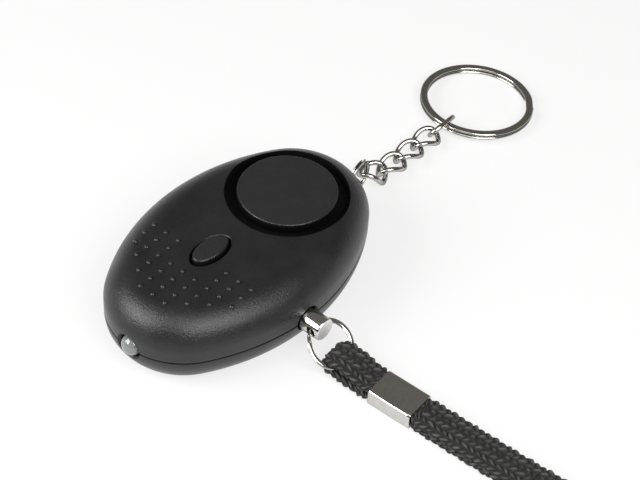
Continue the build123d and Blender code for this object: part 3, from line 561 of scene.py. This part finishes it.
# Clear lamp with its cup and legs inside
lamp = dict(tip=-35.9, radius=2.5, length=8.6, rim=2.9, rimLength=1.0, start=0.02, steps=14,
            cupFrom=3.6, cup=((0.0, 0.75), (0.45, 0.45), (0.5, 0.0001), (1.6, 0.0001), (1.6, 0.8)),
            legFrom=5.0, leg=0.25, legs=1.27, sides=64, cupSides=24, legSides=12)
clear = dict(color=(0.4, 0.41, 0.41), rough=0.06, smooth=0.04, dull=0.12, grain=240, low=0.35, high=0.65)
glass = dict(IOR=1.5, Transmission_Weight=0.6, Coat_Weight=0.6)
made, shader, place = material("lampClear", clear["color"], clear["rough"], **glass)
grain = noise(place, clear["grain"])
plug(ramp(grain, clear["low"], clear["high"], clear["smooth"], clear["dull"]), shader, "Roughness")


def lampPieces():
    tip, z, radius, end = lamp["tip"], case["axis"], lamp["radius"], lamp["length"]
    turns = np.linspace(lamp["start"], math.pi / 2, lamp["steps"])
    dome = [(radius * (1 - math.cos(a)), radius * math.sin(a)) for a in turns]
    rim = end - lamp["rimLength"]
    profile = dome + [(rim, radius), (rim, lamp["rim"]), (end, lamp["rim"])]
    body = turned(profile, (tip, 0, z), xAxis, lamp["sides"])
    build("lampBody", body, "lampClear", "case", ["led_lamp"], "lamp_clear")
    cup = turned(lamp["cup"], (tip + lamp["cupFrom"], 0, z), xAxis, lamp["cupSides"])
    build("lampCup", cup, "contact", "case")
    leg = [(lamp["legFrom"], lamp["leg"]), (end, lamp["leg"])]
    apart = (-lamp["legs"], lamp["legs"])
    legs = [turned(leg, (tip, y, z), xAxis, lamp["legSides"]) for y in apart]
    build("lampPost", joined(*legs), "contact", "case")


lampPieces()

# Pull pin: a thick head with a cross hole, and a shaft that runs into the case
pin = dict(x=-2.9, end=-27.32, root=-21.1, head=2.65, centre=0.001, edge=0.4, chamfer=0.15,
           shaft=1.5, length=11.5, taper=0.8, tip=0.2, tipRadius=1.1, endRadius=0.5,
           eye=1.12, eyeInset=2.15, flare=0.4, mouth=0.1, throat=0.3, outside=5.0, eyeSides=40)
# End face of the pin: a painted highlight in its near-white colour, and its own duller roughness
pinEndHighlight = dict(color=(0.98, 0.97, 0.95), rough=0.6, start=0.1, stop=0.2)


def pinBody():
    p, head, z = pin, pin["head"], case["axis"]
    run = p["root"] - p["end"]
    stop = run + p["length"]
    profile = [(0.0, p["centre"])]
    profile += [(-rise, head + inset) for rise, inset in reversed(rounded(0.0, p["edge"]))]
    profile += [(p["edge"], head), (run - p["chamfer"], head), (run, head - p["chamfer"])]
    profile += [(run, p["shaft"]), (stop - p["taper"], p["shaft"])]
    profile += [(stop - p["tip"], p["tipRadius"]), (stop, p["endRadius"])]
    piece = build("pinBody", turned(profile, (p["x"], p["end"], z), yAxis), "plated")
    wide = p["eye"] + p["flare"]
    side = [(head - p["throat"], p["eye"]), (head + p["mouth"], wide), (p["outside"], wide)]
    hole = [(-along, radius) for along, radius in reversed(side)] + side
    carve(piece, cutter(turned(hole, (p["x"], p["end"] + p["eyeInset"], z), xAxis, p["eyeSides"])))
    shader, place = metalLook("facedPin", *metals["plated"])
    first, last = (p["end"] + pinEndHighlight["start"]) * mm, (p["end"] + pinEndHighlight["stop"]) * mm
    end = ramp(place.axes()[1], first, last, 1.0, 0.0)  # the turned end face is duller than the side, and its near-white colour is a painted highlight
    plug(ramp(end, 0.0, 1.0, metals["plated"][1], pinEndHighlight["rough"]), shader, "Roughness")
    plug(tint(end, metals["plated"][0], pinEndHighlight["color"]), shader, "Base Color")
    dress(piece, "facedPin", "pin", ["pull_pin"], "plated_metal")


pinBody()


# Two turns of flat wire: one below, one above, with a short crossing between them
def splitRing(name, body, centre, xDir, zDir, r, look="chainPlated", sides=28):
    xDir, zDir = Vector(xDir).normalized(), Vector(zDir).normalized()
    yDir = zDir.cross(xDir)
    half, w, t = (r["turn"] + r["slit"]) / 2, r["width"] / 2, r["turn"] / 2
    section = []
    for a in np.linspace(0, 2 * math.pi, sides, endpoint=False):
        c, s = math.cos(a), math.sin(a)
        section.append((w * signedPower(c, r["bulge"]), t * signedPower(s, r["bulge"])))
    crossing = math.radians(r["crossing"])
    rows = []
    for i in range(2 * r["steps"] + 1):
        a = (4 * math.pi - crossing) * i / (2 * r["steps"])
        over = min(1.0, max(0.0, (a - (2 * math.pi - crossing)) / crossing))
        lift = -half + 2 * half * over**2 * (3 - 2 * over)
        out, reach = xDir * math.cos(a) + yDir * math.sin(a), r["radius"] - w
        rows.append([Vector(centre) + out * (reach + dx) + zDir * (lift + dz) for dx, dz in section])
    build(name, strips(rows), look, body, [body], "plated_metal", "round")


pinRing = dict(radius=5.75, width=0.9, turn=0.4, slit=0.1, bulge=0.85, crossing=20, steps=200,
               tilt=36.9, play=0.36, split=(-1, 0.5, 0.375))
tailRing = dict(radius=4.2, width=1.0, turn=0.5, slit=0.06, bulge=0.85, crossing=24, steps=200,
                yaw=7.5, split=0.3, centre=(41.69, -0.08, 6.18))
keyRing = dict(radius=14.3, width=1.8, turn=0.9, slit=0.2, bulge=0.95, crossing=20, steps=260,
               lean=3.5, split=-38, place=(87.05, -1.43), rest=1.01)


def ringPieces():
    tilt = math.radians(pinRing["tilt"])
    reach = pinRing["radius"] - pinRing["width"] / 2 - pinRing["play"]
    eyeY = pin["end"] + pin["eyeInset"]
    centre = (pin["x"], eyeY - reach * math.cos(tilt), case["axis"] - reach * math.sin(tilt))
    zDir = (0, -math.sin(tilt), math.cos(tilt))
    splitRing("pinRingWire", "pin_ring", centre, pinRing["split"], zDir, pinRing, "plated")
    yaw, split = math.radians(tailRing["yaw"]), tailRing["split"]
    xDir, zDir = (split * math.cos(yaw), split * math.sin(yaw), 1), (math.sin(yaw), -math.cos(yaw), 0)
    splitRing("tailRingWire", "tail_ring", tailRing["centre"], xDir, zDir, tailRing)
    lean, split = math.radians(keyRing["lean"]), math.radians(keyRing["split"])
    centre = (*keyRing["place"], keyRing["rest"] * math.cos(lean) + keyRing["radius"] * math.sin(lean))
    xDir = (math.cos(split), math.sin(split), -math.tan(lean) * math.cos(split))
    zDir = (math.sin(lean), 0, math.cos(lean))
    splitRing("keyRingWire", "key_ring", centre, xDir, zDir, keyRing)


ringPieces()

# Curb links: ovals of round wire twisted along their length
link = dict(halfLength=4.1, halfWidth=2.95, twist=45, wire=0.615, steps=144, sides=22)
chain = dict(first=(47.08, -0.47, 3.66), firstTurns=(11.9, 21.2, -11.4),
             second=(53.5, -0.72, 2.02), pitch=6.5, drift=0.12, turns=(-12, 0, 0),
             last=(72.63, -1.18, 2.68), lastTurns=(-58, 0, 0), lastHalfWidth=2.42, lastTwist=0)


def chainLink(name, body, node, centre, turns, halfWidth=link["halfWidth"], twist=link["twist"]):
    steps, wire = link["steps"], link["wire"]
    path = []
    for i in range(steps):
        a = 2 * math.pi * i / steps
        turn, side = math.radians(twist) * math.cos(a), halfWidth * math.sin(a)
        path.append(Vector((link["halfLength"] * math.cos(a), side * math.cos(turn), side * math.sin(turn))))
    aboutX, aboutY, aboutZ = [Matrix.Rotation(math.radians(t), 3, axis) for t, axis in zip(turns, "XYZ")]
    rotation = aboutZ @ aboutY @ aboutX
    angles = np.linspace(0, 2 * math.pi, link["sides"], endpoint=False)
    rows = []
    for i, point in enumerate(path):
        ahead = (path[(i + 1) % steps] - path[i - 1]).normalized()
        side = (point - ahead * point.dot(ahead)).normalized()
        other = ahead.cross(side)
        around = [wire * (side * math.cos(t) + other * math.sin(t)) for t in angles]
        rows.append([Vector(centre) + rotation @ (point + out) for out in around])
    build(name, strips(rows, closed=True), "chainPlated", body, [node], "plated_metal", "link")


chainLink("linkOne", "link_1", "chain_link_1", chain["first"], chain["firstTurns"])
for i, name in enumerate(("linkTwo", "linkThree", "linkFour")):
    x, y, z = chain["second"]
    centre = (x + chain["pitch"] * i, y - chain["drift"] * i, z)
    chainLink(name, f"link_{i + 2}", f"chain_link_{i + 2}", centre, chain["turns"])
plain = dict(halfWidth=chain["lastHalfWidth"], twist=chain["lastTwist"])
chainLink("linkLast", "last_link", "end_link", chain["last"], chain["lastTurns"], **plain)
print("metal made")

# Strap routes, the same points as the solids
strap = dict(x=-2.9, ringY=-33.355, yaw=2.3, low=1.35, high=3.05, foldTop=5.11, loopTop=14.0,
             width=7.7, thick=2.0, square=0.6, step=0.16, round=112)
low, high, foldTop, loopTop = [strap[level] for level in ("low", "high", "foldTop", "loopTop")]
strapYaw = math.radians(strap["yaw"])
drift = math.tan(strapYaw)
strapAcross = np.array([math.cos(strapYaw), math.sin(strapYaw), 0])


def onStrap(y, z):
    return ((strap["x"] + (strap["ringY"] - y) * drift) * mm, y * mm, z * mm)


upperRoute = [onStrap(-47.755, low), onStrap(-30.225, low), onStrap(-30.225, foldTop),
              onStrap(-36.205, foldTop), onStrap(-40.105, high), onStrap(-99.955, high),
              onStrap(-125.955, loopTop), onStrap(-133.955, loopTop)]
lowerRoute = [onStrap(-47.755, low), onStrap(-147.955, low), onStrap(-147.955, loopTop),
              onStrap(-133.955, loopTop)]


def routeLine(name, route):
    curve = bpy.data.curves.new(name, "CURVE")
    curve.dimensions = "3D"
    spline = curve.splines.new("NURBS")
    spline.points.add(len(route) - 1)
    for point, place in zip(spline.points, route):
        point.co = (*place, 1)
    spline.order_u = 3
    spline.use_endpoint_u = True
    spline.resolution_u = 40
    holder = bpy.data.objects.new(name, curve)
    bpy.context.scene.collection.objects.link(holder)
    bpy.context.view_layer.update()
    line = np.array([v.co[:] for v in evaluatedMesh(holder).vertices])
    bpy.data.objects.remove(holder)
    return line


def evenly(line, spacing):
    gaps = np.linalg.norm(np.diff(line, axis=0), axis=1)
    along = np.concatenate([[0], np.cumsum(gaps)])
    at = np.linspace(0, along[-1], int(along[-1] / spacing) + 1)
    return np.stack([np.interp(at, along, line[:, k]) for k in range(3)], 1), at


# Flat braid: columns of slanting stitches that lean one way and the other in turn
braid = dict(girth=17.2, lanes=12, pitch=1.7, lean=1.0, shift=0.37, relief=0.75, level=0.6,
             wobbles=((0.1, 0.8, 2.3), (0.07, 2.1, -1.7)),
             size=0.94, vary=0.18, byStitch=2.3, byLane=2.9, ends=0.85, sides=0.8)
yarnAndGapShade = dict(low=(0.0012, 0.0012, 0.0012), high=(0.062, 0.059, 0.057), crown=0.9, fuzz=0.65,
            dark=0.75, light=1.3, fuzzLow=0.25, fuzzHigh=0.75, smooth=0.62, rough=0.85,
            fibre=4200, detail=3.0, mix=0.6, bump=0.8, depth=0.09 * mm)
sheen = dict(Sheen_Weight=0.05, Sheen_Roughness=0.5)
made, shader, place = material("braid", yarnAndGapShade["high"], yarnAndGapShade["smooth"], **sheen)
fuzz = noise(place, yarnAndGapShade["fibre"], yarnAndGapShade["detail"], yarnAndGapShade["mix"])
# Base colour from the stitch crowns: painted shade in the gaps between stitches and painted light on the
# crowns, with random fibre tone
crown = place.node("ShaderNodeAttribute", output=2, settings={"attribute_name": "crown"})
height = ramp(crown * yarnAndGapShade["crown"] + fuzz * yarnAndGapShade["fuzz"], yarnAndGapShade["dark"], yarnAndGapShade["light"])
plug(tint(height, yarnAndGapShade["low"], yarnAndGapShade["high"]), shader, "Base Color")
plug(ramp(fuzz, yarnAndGapShade["fuzzLow"], yarnAndGapShade["fuzzHigh"], yarnAndGapShade["smooth"], yarnAndGapShade["rough"]), shader, "Roughness")
bump(fuzz, shader, yarnAndGapShade["bump"], yarnAndGapShade["depth"])

ferrule = dict(start=-42.3, length=10.9, before=1.2, after=1.4, fade=1.6,
               holdWidth=3.3, holdThick=0.72, calm=0.8,
               halfWidth=3.95, halfHeight=2.15, round=0.75, least=0.15, wall=0.45, dish=0.22, middle=2.2,
               rims=((0.0, 0.22), (0.06, 0.08), (0.25, 0.0)), steps=10,
               cornerSteps=6, faceSteps=8)


# Height of the stitch at a place round and along the strap
def stitch(column, along):
    b, lane = braid, math.floor(column)
    within = column - lane - 0.5
    phase = along / b["pitch"] + within * (b["lean"] if lane % 2 else -b["lean"]) + b["shift"] * lane
    phase += sum(size * math.sin(pace * along + turn * lane) for size, pace, turn in b["wobbles"])
    length = max(0.0, math.cos(math.pi * (phase - round(phase))))
    size = b["size"] + b["vary"] * math.sin(b["byStitch"] * round(phase) + b["byLane"] * lane)
    return size * length ** b["ends"] * max(0.0, 1 - (2 * within) ** 2) ** b["sides"]


# Half width, half thickness and relief, drawn in where the ferrule grips the strap
def squeeze(y):
    f, width, thick = ferrule, strap["width"] / 2, strap["thick"] / 2
    before = min(1.0, max(0.0, (f["start"] + f["before"] - y) / f["fade"]))
    after = min(1.0, max(0.0, (y - (f["start"] - f["length"] - f["after"])) / f["fade"]))
    held = before * after
    width += (f["holdWidth"] - width) * held
    thick += (f["holdThick"] - thick) * held
    return width, thick, 1 - f["calm"] * held


def braidStrap(name, node, route):
    points, along = evenly(routeLine(name + "Line", route), strap["step"] * mm)
    points, along = points / mm, along / mm
    ahead = np.gradient(points, axis=0)
    ahead /= np.linalg.norm(ahead, axis=1)[:, None]
    square, count = strap["square"], strap["round"]
    turns = [(math.cos(2 * math.pi * i / count), math.sin(2 * math.pi * i / count)) for i in range(count)]
    rows, crowns = [], []
    for p, t, u in zip(points, ahead, along):
        up = np.cross(strapAcross, t)
        width, thick, share = squeeze(p[1])
        row, previous, girth = [], None, 0.0
        for c, s in turns:
            x, z = width * signedPower(c, square), thick * signedPower(s, square)
            if previous:
                girth += math.hypot(x - previous[0], z - previous[1])
            previous = (x, z)
            body = stitch(girth * braid["lanes"] / braid["girth"], u)
            lift = braid["relief"] * share * (body - braid["level"])
            flat = math.hypot(c * square, s)
            row.append(p + strapAcross * (x + lift * c * square / flat) + up * (z + lift * s / flat))
            crowns.append(body)
        rows.append(row)
    piece = build(name, strips(rows), "braid", "strap", [node], "strap_braid", "braid")
    # stitch heights for the material, which paints shade into the gaps from them
    piece.data.attributes.new("crown", "FLOAT", "POINT").data.foreach_set("value", crowns)
    path = [tuple(p) for p in evenly(routeLine(name + "Path", route), mm)[0]]
    return round(along[-1], 1)


# Crimp: a flattened tube with rolled edges, its top pressed a little inwards
def ferruleRow(y, shrink, dish):
    f = ferrule
    w, h, r = f["halfWidth"] - shrink, f["halfHeight"] - shrink, max(f["least"], f["round"] - shrink)
    ring = []
    for sx, sz, first in ((1, 1, 0), (-1, 1, 90), (-1, -1, 180), (1, -1, 270)):
        ring += arc((sx * (w - r), sz * (h - r)), r, first, first + 90, f["cornerSteps"])
        if sx == sz:  # points along the broad faces
            x, z = ring[-1]
            count = f["faceSteps"]
            ring += [(x - sz * 2 * (w - r) * i / count, z) for i in range(1, count)]
    middle = np.array(onStrap(y, f["middle"])) / mm
    row = []
    for x, z in ring:
        press = dish * max(0.0, 1 - (x / w) ** 2) if z > 0 else 0.0
        row.append(middle + strapAcross * x + (0, 0, z - press))
    return row


def ferruleShell():
    f, first, last = ferrule, ferrule["start"], ferrule["start"] - ferrule["length"]
    rows = [(first - back, shrink, 0) for back, shrink in f["rims"]]
    for i in range(1, f["steps"]):
        share = i / f["steps"]
        rows.append((first - f["length"] * share, 0.0, f["dish"] * math.sin(math.pi * share)))
    rows += [(last + back, shrink, 0) for back, shrink in reversed(f["rims"])]
    rows += [(last, f["wall"], 0), (first, f["wall"], 0)]
    shape = strips([ferruleRow(*row) for row in rows], closed=True)
    build("ferruleShell", shape, "plated", "strap", ["strap_ferrule"], "plated_metal")


upperLength = braidStrap("strapUpperBraid", "wrist_strap_upper", upperRoute)
lowerLength = braidStrap("strapLowerBraid", "wrist_strap_lower", lowerRoute)
ferruleShell()
print("strap made", upperLength, lowerLength)

# The solids that the scene keeps, each with its material
kept = dict(brass=["piezo_brass_disc"], ceramic=["piezo_ceramic_disc"], board=["circuit_board"],
            ferrite=["step_up_coil_core"], copper=["step_up_coil_winding"],
            component=["switch_frame", "switch_plunger", "driver_chip", "driver_transistor", "pin_socket"],
            contact=["piezo_contact_springs", "pin_socket_contacts", "battery_plate_contact",
                     "battery_spring_contact", "led_leads"],
            steel=["battery_cell_1", "battery_cell_2", "battery_cell_3", "case_screws"])
for look, nodes in kept.items():
    for node in nodes:
        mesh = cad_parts[node].data
        mesh.materials.clear()
        mesh.materials.append(looks[look])

# Pale floor that glows a little, so that it stays even to the edges of the picture
ground = dict(color=(0.2, 0.2, 0.2), rough=0.9, grain=20, detail=3.0, dark=0.995, light=1.005,
              half=900.0, z=-0.02)
glow = dict(Emission_Color=(1.0, 1.0, 1.0, 1.0), Emission_Strength=0.71, Specular_IOR_Level=0.0)
made, shader, place = material("ground", ground["color"], ground["rough"], **glow)
grain = noise(place, ground["grain"], ground["detail"])
spread(grain, shader, ground["color"], ground["dark"], ground["light"])
half, z = ground["half"], ground["z"]
corners = [(-half, -half, z), (half, -half, z), (half, half, z), (-half, half, z)]
build("floor", (corners, [(0, 1, 2, 3)]), "ground")

# Three panels and a plain room, placed from the highlights on the case
aim = Vector((-0.01, 0, 0.01))
panels = dict(backPanel=dict(place=(-0.40, 0.25, 0.369), size=(0.42, 0.36), power=4.3),
              frontPanel=dict(place=(-0.131, -0.403, 0.424), size=(0.36, 0.3), power=3.1),
              topPanel=dict(place=(-0.155, -0.108, 0.47), size=(0.3, 0.3), power=0.5))
for name, panel in panels.items():
    light = bpy.data.lights.new(name, "AREA")
    light.shape = "RECTANGLE"
    light.size, light.size_y = panel["size"]
    light.energy = panel["power"]
    holder = bpy.data.objects.new(name, light)
    facing = (aim - Vector(panel["place"])).to_track_quat("-Z", "Y").to_matrix().to_4x4()
    holder.matrix_world = Matrix.Translation(panel["place"]) @ facing
    bpy.context.scene.collection.objects.link(holder)

# The room is dark overhead, with a white sweep low down behind the object
sky = dict(farX=0.79, farY=0.61, sweepTop=0.24, sweepFrom=-0.5, sweepTo=0.1, sweep=(0.85, 0.85, 0.85),
           slant=0.5, ceilingTop=0.6, low=(0.04, 0.038, 0.036), high=(0.17, 0.162, 0.15))
world = bpy.data.worlds.new("room")
bpy.context.scene.world = world
world.use_nodes = True
background = world.node_tree.nodes["Background"]
x, y, z = Field(world.node_tree, None).node("ShaderNodeTexCoord", output=0).axes()
far = x * sky["farX"] + y * sky["farY"]
sweep = ramp(z, 0.0, sky["sweepTop"], 1.0, 0.0).clamp()
sweep = sweep * ramp(far, sky["sweepFrom"], sky["sweepTo"]).clamp()
ceiling = tint(ramp(z + far * sky["slant"], 0.0, sky["ceilingTop"]).clamp(), sky["low"], sky["high"])
plug(tint(sweep, ceiling, sky["sweep"]), background, "Color")
background.inputs["Strength"].default_value = 1.0

# Camera solved from points of the photograph, in millimetres and directions
view = dict(place=(-204.92, -179.87, 290.63), right=(0.64799, -0.76006, 0.04914),
            up=(0.51766, 0.48683, 0.70358), ahead=(0.55869, 0.43047, -0.70891),
            lens=99.55, film=36.0, near=0.01, far=10.0)
lens = bpy.data.cameras.new("camera")
lens.lens, lens.sensor_width = view["lens"], view["film"]
lens.clip_start, lens.clip_end = view["near"], view["far"]
camera = bpy.data.objects.new("camera", lens)
axes = Matrix((view["right"], view["up"], [-c for c in view["ahead"]])).transposed()
camera.matrix_world = Matrix.Translation([c * mm for c in view["place"]]) @ axes.to_4x4()
bpy.context.scene.collection.objects.link(camera)
scene = bpy.context.scene
scene.camera = camera
scene.view_settings.view_transform = "Standard"
scene.view_settings.look = "None"
print("scene ready")
